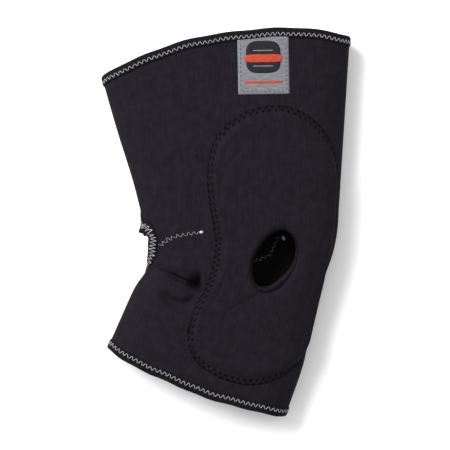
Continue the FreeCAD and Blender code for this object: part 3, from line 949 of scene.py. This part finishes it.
# ---- the sleeve's pieces -------------------------------------------------------------
@dataclass
class KneeOpenings:
    """The kneecap opening and the opening behind the knee, as pattern ovals."""

    form: SleeveForm
    patella_long: float = 20.5
    patella_short: float = 15.6
    patella_height: float = 1.5
    patella_tilt: float = 61.0
    hollow_tall: float = 25.5
    hollow_height: float = 1.5
    hollow_near_in: float = -0.6
    hollow_square: float = 6.5
    hollow_far_v: float = -7.0

    @property
    def patella_turn(self) -> float:
        """Return the kneecap opening's tilt in the pattern, in radians."""
        lean = float(self.form.heading(np.array([self.patella_height]))[0])
        return math.radians(self.patella_tilt) - lean

    def patella(self, count: int, grow: float = 0.0) -> np.ndarray:
        """Return the kneecap opening's rim, grown outwards."""
        tilt = self.patella_turn
        angle = np.linspace(0, 2 * math.pi, count, endpoint=False)
        long_r, short_r = self.patella_long + grow, self.patella_short + grow
        x, y = long_r * np.cos(angle), short_r * np.sin(angle)
        g = x * math.cos(tilt) - y * math.sin(tilt)
        s = x * math.sin(tilt) + y * math.cos(tilt) + self.patella_height
        return np.stack([g, s], axis=1)

    def in_patella(self, places: np.ndarray, grow: float) -> np.ndarray:
        """Tell which pattern places lie inside the kneecap opening."""
        tilt = self.patella_turn
        g, s = places[:, 0], places[:, 1] - self.patella_height
        x = g * math.cos(tilt) + s * math.sin(tilt)
        y = -g * math.sin(tilt) + s * math.cos(tilt)
        return (x / (self.patella_long + grow)) ** 2 + (y / (self.patella_short + grow)) ** 2 < 1

    @property
    def hollow_middle(self) -> Tuple[float, float]:
        """Girth of the middle of the opening behind the knee, and half its length."""
        s = self.hollow_height
        a = float(self.form.half_width(np.array([s]))[0])
        near = self.form.near(s, -a + self.hollow_near_in)
        far = self.form.far(s, self.hollow_far_v)
        return (near + far) / 2, (near - far) / 2

    def hollow(self, count: int, grow: float = 0.0) -> np.ndarray:
        """Return the rim of the opening behind the knee, grown outwards."""
        middle, half = self.hollow_middle
        angle = np.linspace(0, 2 * math.pi, count, endpoint=False)
        power = 2.0 / self.hollow_square
        x, y = np.cos(angle), np.sin(angle)
        g = middle + (half + grow) * np.sign(x) * np.abs(x) ** power
        s = self.hollow_height + (self.hollow_tall + grow) * np.sign(y) * np.abs(y) ** power
        return np.stack([g, s], axis=1)

    def in_hollow(self, places: np.ndarray, grow: float) -> np.ndarray:
        """Tell which pattern places lie inside the opening behind the knee."""
        middle, half = self.hollow_middle
        whole = 2 * self.form.half_girth(places[:, 1])
        off = np.mod(places[:, 0] - middle + whole / 2, whole) - whole / 2
        up = places[:, 1] - self.hollow_height
        n = self.hollow_square
        return np.abs(off / (half + grow)) ** n + np.abs(up / (self.hollow_tall + grow)) ** n < 1


@dataclass
class SleeveWall:
    """The foam-backed outer facing and the lining of the tube."""

    maker: ClothMaker
    openings: KneeOpenings
    columns: int = 240
    rows: int = 186
    hem_inset: float = 1.6
    foam_back: float = 4.2
    lining_lift: float = -4.3
    lining_thick: float = 0.55
    lining_share: float = 0.6
    crowd_round: Tuple[float, float, float] = (0.29, 0.09, 1.8)
    crowd_up: Tuple[float, float, float] = (0.32, 0.08, 1.4)
    patella_clear: float = 2.6
    hollow_clear: float = 3.0

    @staticmethod
    def crowd(share: np.ndarray, middle: float, spread: float, gain: float) -> np.ndarray:
        """Draw evenly spread shares together round a middle, where the cloth has most shape."""
        known = np.linspace(0, 1, 1001)
        total = np.cumsum(1.0 + gain * hump(known, middle, spread))
        total = (total - total[0]) / (total[-1] - total[0])
        return np.interp(share, total, known)

    def pattern(self, lift: float) -> Pattern:
        """Return the pattern of the whole tube at one lift."""
        form = self.maker.form

        def places(u: np.ndarray, w: np.ndarray) -> np.ndarray:
            """Give the tube's pattern places."""
            u = self.crowd(u, *self.crowd_round)
            w = self.crowd(w, *self.crowd_up)
            guess = -form.calf_length + w * (form.calf_length + form.thigh_length)
            share = 2 * u - 1
            for _ in range(3):
                v, _z, a = form.across(share * form.half_girth(guess), guess)
                low = form.low_hem(v / a) + self.hem_inset
                top = form.top_hem(v / a) - self.hem_inset
                guess = low + w * (top - low)
            return np.column_stack([share * form.half_girth(guess), guess, np.full_like(u, lift)])

        return places

    def layer(self, name: str, slot: str, lift: float, thick: float,
              share: float) -> bpy.types.Object:
        """Make one layer of the wall, with both knee openings cut out."""
        bm = bmesh.new()
        places = self.maker.cut(bm, int(self.columns * share), int(self.rows * share),
                                self.pattern(lift))
        gone = []
        for face in bm.faces:
            mid = np.mean([places[v.index] for v in face.verts], axis=0)[None, :]
            if (self.openings.in_patella(mid, self.patella_clear)[0]
                    or self.openings.in_hollow(mid, self.hollow_clear)[0]):
                gone.append(face)
        bmesh.ops.delete(bm, geom=gone, context="FACES")
        bmesh.ops.remove_doubles(bm, verts=bm.verts, dist=self.maker.weld)
        piece = to_object(bm, name)
        self.maker.thicken(piece, thick)
        self.maker.wardrobe.dress(piece, slot)
        self.maker.cross_knee(piece)
        return piece

    def build(self) -> None:
        """Build the facing with its foam, and the lining."""
        facing = self.layer("sleeve_facing", "neoprene_facing", 0.0, self.foam_back, 1.0)
        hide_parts("thigh_facing", "knee_facing", "calf_facing",
                    "thigh_foam", "knee_foam", "calf_foam")
        lining = self.layer("sleeve_lining", "lining", self.lining_lift, self.lining_thick,
                            self.lining_share)
        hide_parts("thigh_lining", "knee_lining", "calf_lining")
        LOG.info("sleeve wall: %s and %s", facing.name, lining.name)


def tape_profile(width: float, wall: float, thick: float, puff: float,
                 samples: int) -> np.ndarray:
    """Return the closed outline of a tape folded over an edge.

    Args:
        width: Width of each leg.
        wall: Thickness of the wall that it folds over.
        thick: Thickness of the tape.
        puff: Rise of the tape's middle above its ends.
        samples: Points on each leg.

    Returns:
        Rows of (inset from the edge, lift), closed round the tape.
    """
    legs = np.linspace(0, 1, samples)
    rise = puff * np.sin(math.pi * legs) ** 0.5
    outer_top = np.column_stack([width * (1 - legs), rise + thick * 0.5])
    bend = np.linspace(math.pi / 2, -math.pi / 2, 7)[1:-1]
    half = wall / 2
    roll = np.column_stack([-0.9 * np.cos(bend), -half + (half + thick * 0.5) * np.sin(bend)])
    inner_low = np.column_stack([width * legs, -wall - thick * 0.5 - 0.4 * rise])
    inner_back = np.column_stack([width * (1 - legs), np.full(samples, -wall + thick * 0.45)])
    inside = np.array([[0.35, -wall * 0.8], [0.35, -wall * 0.2]])
    outer_back = np.column_stack([width * legs, np.full(samples, -thick * 0.45)])
    return np.vstack([outer_top, roll, inner_low, inner_back, inside, outer_back,
                      outer_top[:1]])


@dataclass
class HemBinding:
    """A binding tape folded over one end of the sleeve, with its white zigzag row."""

    maker: ClothMaker
    stitcher: Stitcher
    end: str
    width: float = 7.0
    tape: float = 0.8
    puff: float = 0.55
    samples: int = 7
    columns: int = 300
    deep: float = 10.0
    row_in: float = 4.1
    row: Row = Row(width=3.3, pitch=3.9, thread=0.37, lift=0.82, sink=0.5, seed=11)

    def edge_line(self, inset: float) -> Line:
        """Return the line round the sleeve at an inset from the hem."""
        form = self.maker.form
        count = 720
        share = np.linspace(-1, 1, count, endpoint=False)
        s = np.full(count, form.thigh_length if self.end == "thigh" else -form.calf_length)
        for _ in range(4):
            v, _z, a = form.across(share * form.half_girth(s), s)
            wobble = 0.35 * np.sin(share * 17.0) + 0.25 * np.sin(share * 41.0 + 1.0)
            if self.end == "thigh":
                s = form.top_hem(v / a) - inset + wobble
            else:
                s = form.low_hem(v / a) + inset + wobble
        return Line(np.column_stack([share * form.half_girth(s), s]), False)

    def pattern(self, outline: np.ndarray) -> Pattern:
        """Return the tape's pattern: round the hem, and round its folded outline."""
        hem, deep = self.edge_line(0.0), self.edge_line(self.deep)

        def places(u: np.ndarray, w: np.ndarray) -> np.ndarray:
            """Give the tape's pattern places."""
            inset, lift = round_outline(outline, w)
            index = u * len(hem.points)
            known = np.arange(len(hem.points) + 1)
            both = []
            for line in (hem, deep):
                points = np.vstack([line.points, line.points[:1]])
                points[-1, 0] += 2 * abs(points[0, 0])
                both.append(np.column_stack([np.interp(index, known, points[:, 0]),
                                             np.interp(index, known, points[:, 1])]))
            spot = both[0] + (both[1] - both[0]) * (inset / self.deep)[:, None]
            return np.column_stack([spot, lift])

        return places

    def build(self) -> None:
        """Build the tape and its row of stitches."""
        outline = tape_profile(self.width, WALL, self.tape, self.puff, self.samples)
        tape = self.maker.piece(f"{self.end}_hem_tape", "binding", self.columns,
                                len(outline) - 1, self.pattern(outline), Closing.BOTH)
        body = THIGH if self.end == "thigh" else CALF
        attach(tape, body)
        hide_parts(f"{self.end}_hem_binding")
        row = self.stitcher.sew(f"{self.end}_hem_stitches", "white_thread",
                                self.edge_line(self.row_in), self.row)
        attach(row, body)
        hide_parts(f"{self.end}_hem_thread")
        LOG.info("%s hem: %s, %s", self.end, tape.name, row.name)


@dataclass
class HollowBinding:
    """The bound edge of the opening behind the knee, with its white zigzag row."""

    maker: ClothMaker
    stitcher: Stitcher
    openings: KneeOpenings
    width: float = 8.0
    tape: float = 0.9
    puff: float = 0.9
    samples: int = 8
    columns: int = 220
    points: int = 480
    row_in: float = 4.3
    row: Row = Row(width=5.2, pitch=2.7, thread=0.31, lift=1.3, sink=0.4, seed=23)

    def build(self) -> None:
        """Build the binding and its row of stitches."""
        outline = tape_profile(self.width, WALL, self.tape, self.puff, self.samples)
        form = self.maker.form
        rim = Line(self.openings.hollow(self.points), True, form)

        def places(u: np.ndarray, w: np.ndarray) -> np.ndarray:
            """Give the binding's pattern places."""
            inset, lift = round_outline(outline, w)
            t = u * rim.length
            spot = rim.place(t) - rim.side(t) * inset[:, None]
            return np.column_stack([spot, lift])

        binding = self.maker.piece("hollow_binding", "binding", self.columns,
                                   len(outline) - 1, places, Closing.BOTH)
        self.maker.cross_knee(binding)
        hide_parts("popliteal_binding")
        spots = rim.place(rim.at) - rim.side(rim.at) * self.row_in
        row = self.stitcher.sew("hollow_stitches", "white_thread",
                                Line(spots[:-1], True, form), self.row)
        self.maker.cross_knee(row)
        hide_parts("popliteal_thread")
        LOG.info("opening behind the knee: %s, %s", binding.name, row.name)


@dataclass
class FrontPad:
    """The foam pad on the front of the knee, its black seam and the kneecap opening."""

    maker: ClothMaker
    stitcher: Stitcher
    openings: KneeOpenings
    edge_out: float = 2.1
    thick: float = 3.2
    columns: int = 360
    top_rows: int = 46
    under_rows: int = 8
    dense: int = 900
    seam_row: Row = Row(width=3.1, pitch=4.9, thread=0.36, lift=0.35, sink=0.5, seed=5)
    lip_row: Row = Row(width=2.8, pitch=4.0, thread=0.5, lift=1.6, sink=0.8, seed=7)
    lip_points: int = 360
    lip_columns: int = 180
    lip_top: float = 1.5
    lip_under: float = 0.6
    lip_bearing: float = -60.0
    lip_back: float = -0.9
    lip_show: float = 4.3
    lip_spread: float = 0.9
    lip_outline: Places = (
        (3.0, 0.45), (1.4, 0.9), (0.3, 1.0), (-0.5, 0.85), (-1.0, 0.5), (-1.2, 0.0),
        (-1.2, -0.5), (-1.0, -0.85), (-0.4, -1.0), (0.6, -1.05), (2.0, -1.05), (3.6, -1.0))
    outline: Places = (
        (0.0, 110.0), (13.5, 107.2), (28.0, 98.0), (39.0, 84.5), (45.5, 71.0),
        (48.6, 54.0), (48.3, 36.0), (46.8, 20.0), (48.0, 4.0), (52.0, -14.0),
        (55.0, -30.0), (52.5, -43.0), (46.0, -52.5), (38.0, -61.0), (28.0, -72.0),
        (13.0, -82.5), (-4.0, -86.2), (-18.0, -85.6), (-31.0, -82.0), (-41.0, -72.0),
        (-45.0, -59.0), (-45.2, -45.0), (-43.8, -26.0), (-43.0, -6.0), (-43.8, 12.0),
        (-46.6, 30.0), (-49.0, 50.0), (-48.8, 70.0), (-44.5, 87.0), (-34.0, 99.5),
        (-18.0, 108.2))

    def seam_points(self, count: int, grow: float = 0.0) -> np.ndarray:
        """Return the seam line as a smooth closed curve, moved outwards by grow."""
        knots = np.array(self.outline)
        n = len(knots)
        t = np.linspace(0, n, count, endpoint=False)
        i = np.floor(t).astype(int)
        f = (t - i)[:, None]
        p0, p1 = knots[(i - 1) % n], knots[i % n]
        p2, p3 = knots[(i + 1) % n], knots[(i + 2) % n]
        curve = 0.5 * (2 * p1 + (p2 - p0) * f + (2 * p0 - 5 * p1 + 4 * p2 - p3) * f ** 2
                       + (3 * p1 - p0 - 3 * p2 + p3) * f ** 3)
        if grow:
            line = Line(curve, True)
            at = np.linspace(0, line.length, count, endpoint=False)
            curve = line.place(at) + line.side(at) * grow
        return curve

    def rays(self, points: np.ndarray, angles: np.ndarray) -> np.ndarray:
        """Return how far a closed outline lies from the opening's middle at each angle."""
        mid = np.array([0.0, self.openings.patella_height])
        off = points - mid
        bearing = np.arctan2(off[:, 1], off[:, 0])
        order = np.argsort(bearing)
        bearing, far = bearing[order], np.hypot(off[order, 0], off[order, 1])
        return np.interp(angles, bearing, far, period=2 * math.pi)

    def rise(self, edge_in: np.ndarray, hole_out: np.ndarray) -> np.ndarray:
        """Return the pad's height from its distances to its edge and to the opening."""
        seam = self.edge_out
        bank = 0.07 + 0.5 * smooth(edge_in, 0.0, 3.4)
        groove = -0.25 * hump(edge_in, seam, 1.8)
        body = (self.thick - 0.6) * smooth(edge_in, seam + 0.3, seam + 8.0)
        crown = 0.55 * hump(edge_in, seam + 7.5, 4.5)
        lip = 0.35 * hump(hole_out, 8.0, 4.0)
        roll = -2.4 * (1 - smooth(hole_out, -0.5, 3.4)) ** 2
        return bank + groove + body + crown + lip + roll

    def build(self) -> None:
        """Build the pad, its seams and the opening's rolled edge."""
        edge = self.seam_points(self.dense, self.edge_out)
        seam = Line(self.seam_points(self.dense), True)
        hole = self.openings.patella(self.dense)
        mid = np.array([0.0, self.openings.patella_height])
        top_rows, under_rows = self.top_rows, self.under_rows

        def places(u: np.ndarray, w: np.ndarray) -> np.ndarray:
            """Give the pad's pattern places, from the opening's wall to the underside."""
            angle = (u * 2 - 1) * math.pi
            inner, outer = self.rays(hole, angle), self.rays(edge, angle)
            at = w * (top_rows + under_rows)
            top = np.clip(at / top_rows, 0, 1)
            under = np.clip((at - top_rows) / under_rows, 0, 1)
            share = np.where(at <= top_rows, top, 1 - under)
            radius = inner + (outer - inner) * share
            lift = self.rise(outer - radius, radius - inner)
            lift = np.where(at > top_rows, 0.05, lift)
            lift = np.where(top <= 0, 0.6, lift)
            g = mid[0] + radius * np.cos(angle)
            s = mid[1] + radius * np.sin(angle)
            return np.column_stack([g, s, lift])

        seam_table = seam.points[:-1] - mid
        seam_angle = np.arctan2(seam_table[:, 1], seam_table[:, 0])
        order = np.argsort(seam_angle)
        seam_at = seam.at[:-1][order]
        seam_at = np.unwrap(seam_at, period=seam.length)
        seam_angle = seam_angle[order]
        pitch = self.seam_row.pitch
        stretch = pitch * round(seam.length / pitch) / seam.length

        def seam_map(u: np.ndarray, w: np.ndarray) -> np.ndarray:
            """Give distance along and across the seam."""
            spots = places(u, w)
            angle = (u * 2 - 1) * math.pi
            along = np.interp(angle, seam_angle, seam_at)
            here = seam.place(along)
            off = np.hypot(*(spots[:, :2] - mid).T) - np.hypot(*(here - mid).T)
            slant = np.abs(np.sum(seam.side(along) * (here - mid), axis=1))
            slant = slant / np.hypot(*(here - mid).T)
            return np.column_stack([along * stretch, off * slant])

        pad = self.maker.piece("front_pad", "pad_cover", self.columns, top_rows + under_rows,
                               places, Closing.BOTH, seam_map)
        self.maker.cross_knee(pad)
        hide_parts("thigh_pad_foam", "knee_pad_foam", "calf_pad_foam",
                    "thigh_pad_cover", "knee_pad_cover", "calf_pad_cover")
        stitches = self.stitcher.sew("pad_stitches", "black_thread", seam, self.seam_row)
        self.maker.cross_knee(stitches)
        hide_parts("thigh_pad_thread", "knee_pad_thread", "calf_pad_thread")
        self.rim()
        LOG.info("front pad: %s, %s", pad.name, stitches.name)

    def rim(self) -> None:
        """Build the rolled lip of the kneecap opening and its black stitches."""
        edge = Line(self.openings.patella(self.lip_points), True)
        rim = edge.points - np.array([0.0, self.openings.patella_height])
        bearing = np.unwrap(np.arctan2(rim[:, 1], rim[:, 0]))
        out, lift = np.array(self.lip_outline).T
        lift = np.interp(lift, [-1.05, 1.0], [-WALL - self.lip_under, self.lip_top])
        back = np.column_stack([out[::-1] + 1.0, lift[::-1] * 0.8 - 0.5])
        outline = np.vstack([np.column_stack([out, lift]), back])
        outline = np.vstack([outline, outline[:1]])

        def places(u: np.ndarray, w: np.ndarray) -> np.ndarray:
            """Give the lip's pattern places; it stands furthest into the opening below."""
            inset, up = round_outline(outline, w)
            t = u * edge.length
            angle = np.interp(t, edge.at, bearing)
            off = np.mod(angle - math.radians(self.lip_bearing) + math.pi, 2 * math.pi) - math.pi
            show = self.lip_back + self.lip_show * hump(off, 0.0, self.lip_spread)
            spot = edge.place(t) - edge.side(t) * (inset - show)[:, None]
            return np.column_stack([spot, up])

        lip = self.maker.piece("patella_lip", "neoprene_facing", self.lip_columns,
                               len(outline) - 1, places, Closing.BOTH)
        self.maker.cross_knee(lip)
        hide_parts("patella_binding")
        line = Line(self.openings.patella(self.lip_points, 0.3), True)
        row = self.stitcher.sew("patella_stitches", "black_thread", line, self.lip_row)
        self.maker.cross_knee(row)
        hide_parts("patella_thread")


@dataclass
class Darts:
    """The two darts that run forward from the opening behind the knee."""

    maker: ClothMaker
    stitcher: Stitcher
    out_row: Row = Row(width=4.1, pitch=4.1, thread=0.22, lift=0.15, sink=0.5, seed=31,
                       narrow=2.5)
    in_row: Row = Row(width=4.1, pitch=4.1, thread=0.176, lift=-WALL - 0.15, sink=-0.5,
                      seed=31, narrow=2.5)
    points: int = 80
    tack: float = 2.9
    tack_high: float = 0.7
    tack_lift: float = 0.2
    near: Places = (
        (-53.5, -17.5), (-46.0, -13.0), (-36.5, -10.6), (-27.0, -9.0), (-20.0, -8.0))
    near_tack: Tuple[float, float] = (-18.6, -7.6)
    far: Places = (
        (14.0, -31.0), (22.0, -29.5), (29.6, -27.0), (33.6, -24.6), (35.9, -20.6),
        (37.4, -15.6), (39.9, -10.8))
    far_tack: Tuple[float, float] = (43.9, -12.1)

    def tack_piece(self, bm: bmesh.types.BMesh, spot: np.ndarray, lift: float) -> None:
        """Add one round tack of packed thread."""
        fresh = bmesh.ops.create_uvsphere(bm, u_segments=16, v_segments=10,
                                          radius=1.0)["verts"]
        co = np.array([v.co for v in fresh])
        places = np.column_stack([spot[0] + co[:, 0] * self.tack / 2,
                                  spot[1] + co[:, 1] * self.tack / 2,
                                  lift + co[:, 2] * self.tack_high])
        for vert, point in zip(fresh, self.maker.form.lay(places)):
            vert.co = point

    def build(self) -> None:
        """Build both darts, outside and inside the wall."""
        form = self.maker.form
        for name, spots, tack, near_side in (
                ("near_dart", self.near, self.near_tack, True),
                ("far_dart", self.far, self.far_tack, False)):
            points = np.array([self.to_pattern(x, y, near_side) for x, y in spots])
            at, known = np.linspace(0, len(points) - 1, self.points), np.arange(len(points))
            line = Line(np.column_stack([np.interp(at, known, points[:, 0]),
                                         np.interp(at, known, points[:, 1])]), False, form)
            spot = np.array(self.to_pattern(*tack, near_side))
            for side, sewn, proud in (("out", self.out_row, self.tack_lift),
                                      ("in", self.in_row, -self.tack_lift)):
                row = self.stitcher.sew(f"{name}_stitches_{side}", "white_thread", line, sewn)
                self.maker.cross_knee(row)
                bm = bmesh.new()
                bm.loops.layers.uv.new("cloth")
                self.tack_piece(bm, spot, sewn.lift + proud)
                dot = to_object(bm, f"{name}_tack_{side}")
                self.maker.wardrobe.dress(dot, "white_thread")
                self.maker.cross_knee(dot)
                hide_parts(f"{name}_thread")
            LOG.info("%s sewn", name)

    def to_pattern(self, x: float, y: float, near_side: bool) -> Tuple[float, float]:
        """Return the pattern place of a point seen from above, on either layer."""
        form = self.maker.form
        best, s = 1e9, 0.0
        for trial in np.arange(-60.0, 60.0, 0.5):
            cx, cy = form.centre(np.array([trial]))
            lean = float(form.heading(np.array([trial]))[0])
            off = abs((x - cx[0]) * -math.sin(lean) + (y - cy[0]) * math.cos(lean))
            if off < best:
                best, s = off, float(trial)
                v = (x - cx[0]) * math.cos(lean) + (y - cy[0]) * math.sin(lean)
        return (form.near(s, v) if near_side else form.far(s, v)), s


@dataclass
class BackSeam:
    """The flat black seam that closes the sleeve up the back."""

    maker: ClothMaker
    stitcher: Stitcher
    openings: KneeOpenings
    row: Row = Row(width=4.4, pitch=4.6, thread=0.6, lift=0.0, sink=0.45, seed=17)
    clear: float = 9.5
    past_hem: float = 2.0
    points: int = 60

    def build(self) -> None:
        """Build the seam above and below the opening behind the knee."""
        form = self.maker.form
        tall = self.openings.hollow_tall + self.clear
        low = self.openings.hollow_height - tall
        high = self.openings.hollow_height + tall
        runs = (("upper", high, form.thigh_length + self.past_hem, ("upper_back_seam_thread",)),
                ("lower", -form.calf_length + self.past_hem, low,
                 ("lower_back_seam_thread", "knee_back_seam_thread")))
        for name, start, stop, nodes in runs:
            s = np.linspace(start, stop, self.points)
            line = Line(np.column_stack([form.half_girth(s), s]), False)
            row = self.stitcher.sew(f"{name}_back_seam", "black_thread", line, self.row)
            self.maker.cross_knee(row)
            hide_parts(*nodes)
            LOG.info("%s back seam sewn", name)


@dataclass(frozen=True)
class Patch:
    """One flat patch of the label, in millimetres; faces are counted across and up.

    The patch's middle is up from the label's middle, and its underside is lift above the
    wall. Its corners are square, or rounded by a power.
    """

    name: str
    slot: str
    width: float
    height: float
    up: float
    lift: float
    thick: float
    columns: int
    rows: int
    round_by: float = 0.0


@dataclass
class Label:
    """The woven label under the thigh hem, with a plain badge and no lettering."""

    maker: ClothMaker
    width: float = 38.5
    height: float = 43.0
    middle_g: float = -5.6
    middle_s: float = 142.6
    thick: float = 0.5
    tilt: float = -5.0
    lean: float = -1.5
    bond: float = 0.15
    bars: Tuple[float, ...] = (-0.6, 11.0)
    stitch_inset: float = 2.2
    stitch_pitch: float = 3.3
    stitch_long: float = 1.9
    stitch_half: float = 0.3
    stitch_high: float = 0.22

    def turned(self, x: np.ndarray, y: np.ndarray) -> np.ndarray:
        """Return the pattern places of points on the slightly turned label."""
        a, b = math.radians(self.tilt), math.radians(self.lean)
        return np.column_stack([self.middle_g + x * math.cos(a) - y * math.sin(b),
                                self.middle_s + x * math.sin(a) + y * math.cos(b)])

    def sheet(self, patch: Patch) -> bpy.types.Object:
        """Make one flat patch of the label.

        Args:
            patch: The patch's names, place and sizes.

        Returns:
            The patch.
        """
        def places(u: np.ndarray, w: np.ndarray) -> np.ndarray:
            """Give the patch's pattern places."""
            x, y = (u - 0.5) * 2, (w - 0.5) * 2
            if patch.round_by:
                big = np.maximum(np.abs(x), np.abs(y)) + 1e-9
                n = patch.round_by
                reach = big / ((np.abs(x) ** n + np.abs(y) ** n) ** (1 / n) + 1e-9)
                x, y = x * reach, y * reach
            spot = self.turned(x * patch.width / 2, patch.up + y * patch.height / 2)
            return np.column_stack([spot, np.full_like(u, patch.lift + patch.thick)])

        piece = self.maker.piece(patch.name, patch.slot, patch.columns, patch.rows, places,
                                 Closing.OPEN)
        self.maker.thicken(piece, patch.thick)
        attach(piece, THIGH)
        return piece

    def build(self) -> None:
        """Build the label, its badge and its running stitches."""
        patch = self.sheet(Patch("label_patch", "label", self.width, self.height, up=0.0,
                                 lift=self.bond, thick=self.thick, columns=26, rows=28))
        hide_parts("label")
        top = self.bond + self.thick
        low, high = top + 0.02, top + 0.2
        badge = self.sheet(Patch("label_badge", "emblem", 26.0, 24.0, up=6.2, lift=low,
                                 thick=0.16, columns=24, rows=20, round_by=3.6))
        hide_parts("label_emblem")
        band = self.sheet(Patch("label_badge_band", "stripe", 28.0, 6.0, up=5.2, lift=high,
                                thick=0.12, columns=20, rows=6, round_by=5.0))
        line = self.sheet(Patch("label_line", "stripe", 28.0, 1.8, up=-12.5, lift=low,
                                thick=0.1, columns=20, rows=4))
        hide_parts("label_stripe")
        for i, up in enumerate(self.bars):
            self.sheet(Patch(f"label_badge_bar_{i}", "label", 15.0, 0.9, up=up, lift=high,
                             thick=0.08, columns=12, rows=2))
        self.stitches(top)
        LOG.info("label: %s, %s, %s, %s", patch.name, badge.name, band.name, line.name)

    def stitches(self, top: float) -> None:
        """Sew the running stitches along the label's three free edges."""
        bm = bmesh.new()
        bm.loops.layers.uv.new("cloth")
        inset, pitch, half = self.stitch_inset, self.stitch_pitch, self.stitch_half
        half_w, half_h = self.width / 2 - inset, self.height / 2 - inset
        spots = []
        for i in range(int((self.height - inset - 4) / pitch)):
            for side in (-1, 1):
                spots.append((side * half_w, -half_h + pitch * (i + 0.5), False))
        for i in range(int(half_w * 2 / pitch)):
            spots.append((-half_w + pitch * (i + 0.5), -half_h, True))
        for x, y, flat in spots:
            fresh = bmesh.ops.create_uvsphere(bm, u_segments=8, v_segments=6,
                                              radius=1.0)["verts"]
            co = np.array([v.co for v in fresh])
            size = (self.stitch_long / 2, half) if flat else (half, self.stitch_long / 2)
            spot = self.turned(x + co[:, 0] * size[0], y + co[:, 1] * size[1])
            places = np.column_stack([spot, top + 0.05 + co[:, 2] * self.stitch_high])
            for vert, point in zip(fresh, self.maker.form.lay(places)):
                vert.co = point
        piece = to_object(bm, "label_stitches")
        self.maker.wardrobe.dress(piece, "label_thread")
        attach(piece, THIGH)
        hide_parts("label_stitching")


@dataclass(frozen=True)
class Studio:
    """A plain white table, soft light from the upper left and a camera straight above."""

    lens: float = 135.0
    sensor: float = 36.0
    frame_width: float = 0.3389
    focus_height: float = 0.028
    middle: Tuple[float, float] = (-0.0012, -0.0023)
    table_size: float = 6.0
    table_colour: Colour = (0.93, 0.925, 0.935)
    sky: float = 0.68
    key_at: Tuple[float, float, float] = (-0.9, 0.75, 1.3)
    key_size: float = 0.9
    key_power: float = 43.0
    fill_at: Tuple[float, float, float] = (0.3, 0.5, 1.9)
    fill_size: float = 1.6
    fill_power: float = 8.0

    def build(self) -> None:
        """Build the table, the lights and the camera."""
        bm = bmesh.new()
        bmesh.ops.create_grid(bm, x_segments=1, y_segments=1, size=self.table_size)
        floor = to_object(bm, "table", False)
        material = bpy.data.materials.new("table_white")
        material.use_nodes = True
        shader = material.node_tree.nodes["Principled BSDF"]
        shader.inputs["Base Color"].default_value = (*self.table_colour, 1)
        shader.inputs["Roughness"].default_value = 0.9
        shader.inputs["Specular IOR Level"].default_value = 0.1
        floor.data.materials.append(material)
        self.light("key", self.key_at, self.key_size, self.key_power)
        self.light("fill", self.fill_at, self.fill_size, self.fill_power)
        world = bpy.data.worlds.new("studio")
        world.use_nodes = True
        sky = world.node_tree.nodes["Background"]
        sky.inputs["Color"].default_value = (1.0, 1.0, 1.0, 1)
        sky.inputs["Strength"].default_value = self.sky
        bpy.context.scene.world = world
        data = bpy.data.cameras.new("camera")
        data.lens, data.sensor_width = self.lens, self.sensor
        data.clip_end = 20
        camera = bpy.data.objects.new("camera", data)
        bpy.context.scene.collection.objects.link(camera)
        away = self.lens / self.sensor * self.frame_width
        camera.location = (*self.middle, away + self.focus_height)
        bpy.context.scene.camera = camera
        bpy.context.scene.view_settings.view_transform = "Standard"

    def light(self, name: str, place: Tuple[float, float, float], size: float,
              power: float) -> None:
        """Add one soft square light that faces the sleeve."""
        data = bpy.data.lights.new(name, "AREA")
        data.shape, data.size, data.energy = "SQUARE", size, power
        lamp = bpy.data.objects.new(name, data)
        bpy.context.scene.collection.objects.link(lamp)
        lamp.location = place
        lamp.rotation_euler = Vector(place).to_track_quat("Z", "Y").to_euler()


def main() -> None:
    """Build the sleeve piece by piece."""
    logging.basicConfig(level=logging.INFO, format="%(name)s: %(message)s")
    Studio().build()
    form = make_form()
    wardrobe = Wardrobe()
    maker = ClothMaker(form, wardrobe)
    stitcher = Stitcher(form, wardrobe)
    openings = KneeOpenings(form)
    SleeveWall(maker, openings).build()
    for end in ("thigh", "calf"):
        HemBinding(maker, stitcher, end).build()
    HollowBinding(maker, stitcher, openings).build()
    FrontPad(maker, stitcher, openings).build()
    Darts(maker, stitcher).build()
    BackSeam(maker, stitcher, openings).build()
    Label(maker).build()


if __name__ == "__main__":
    main()
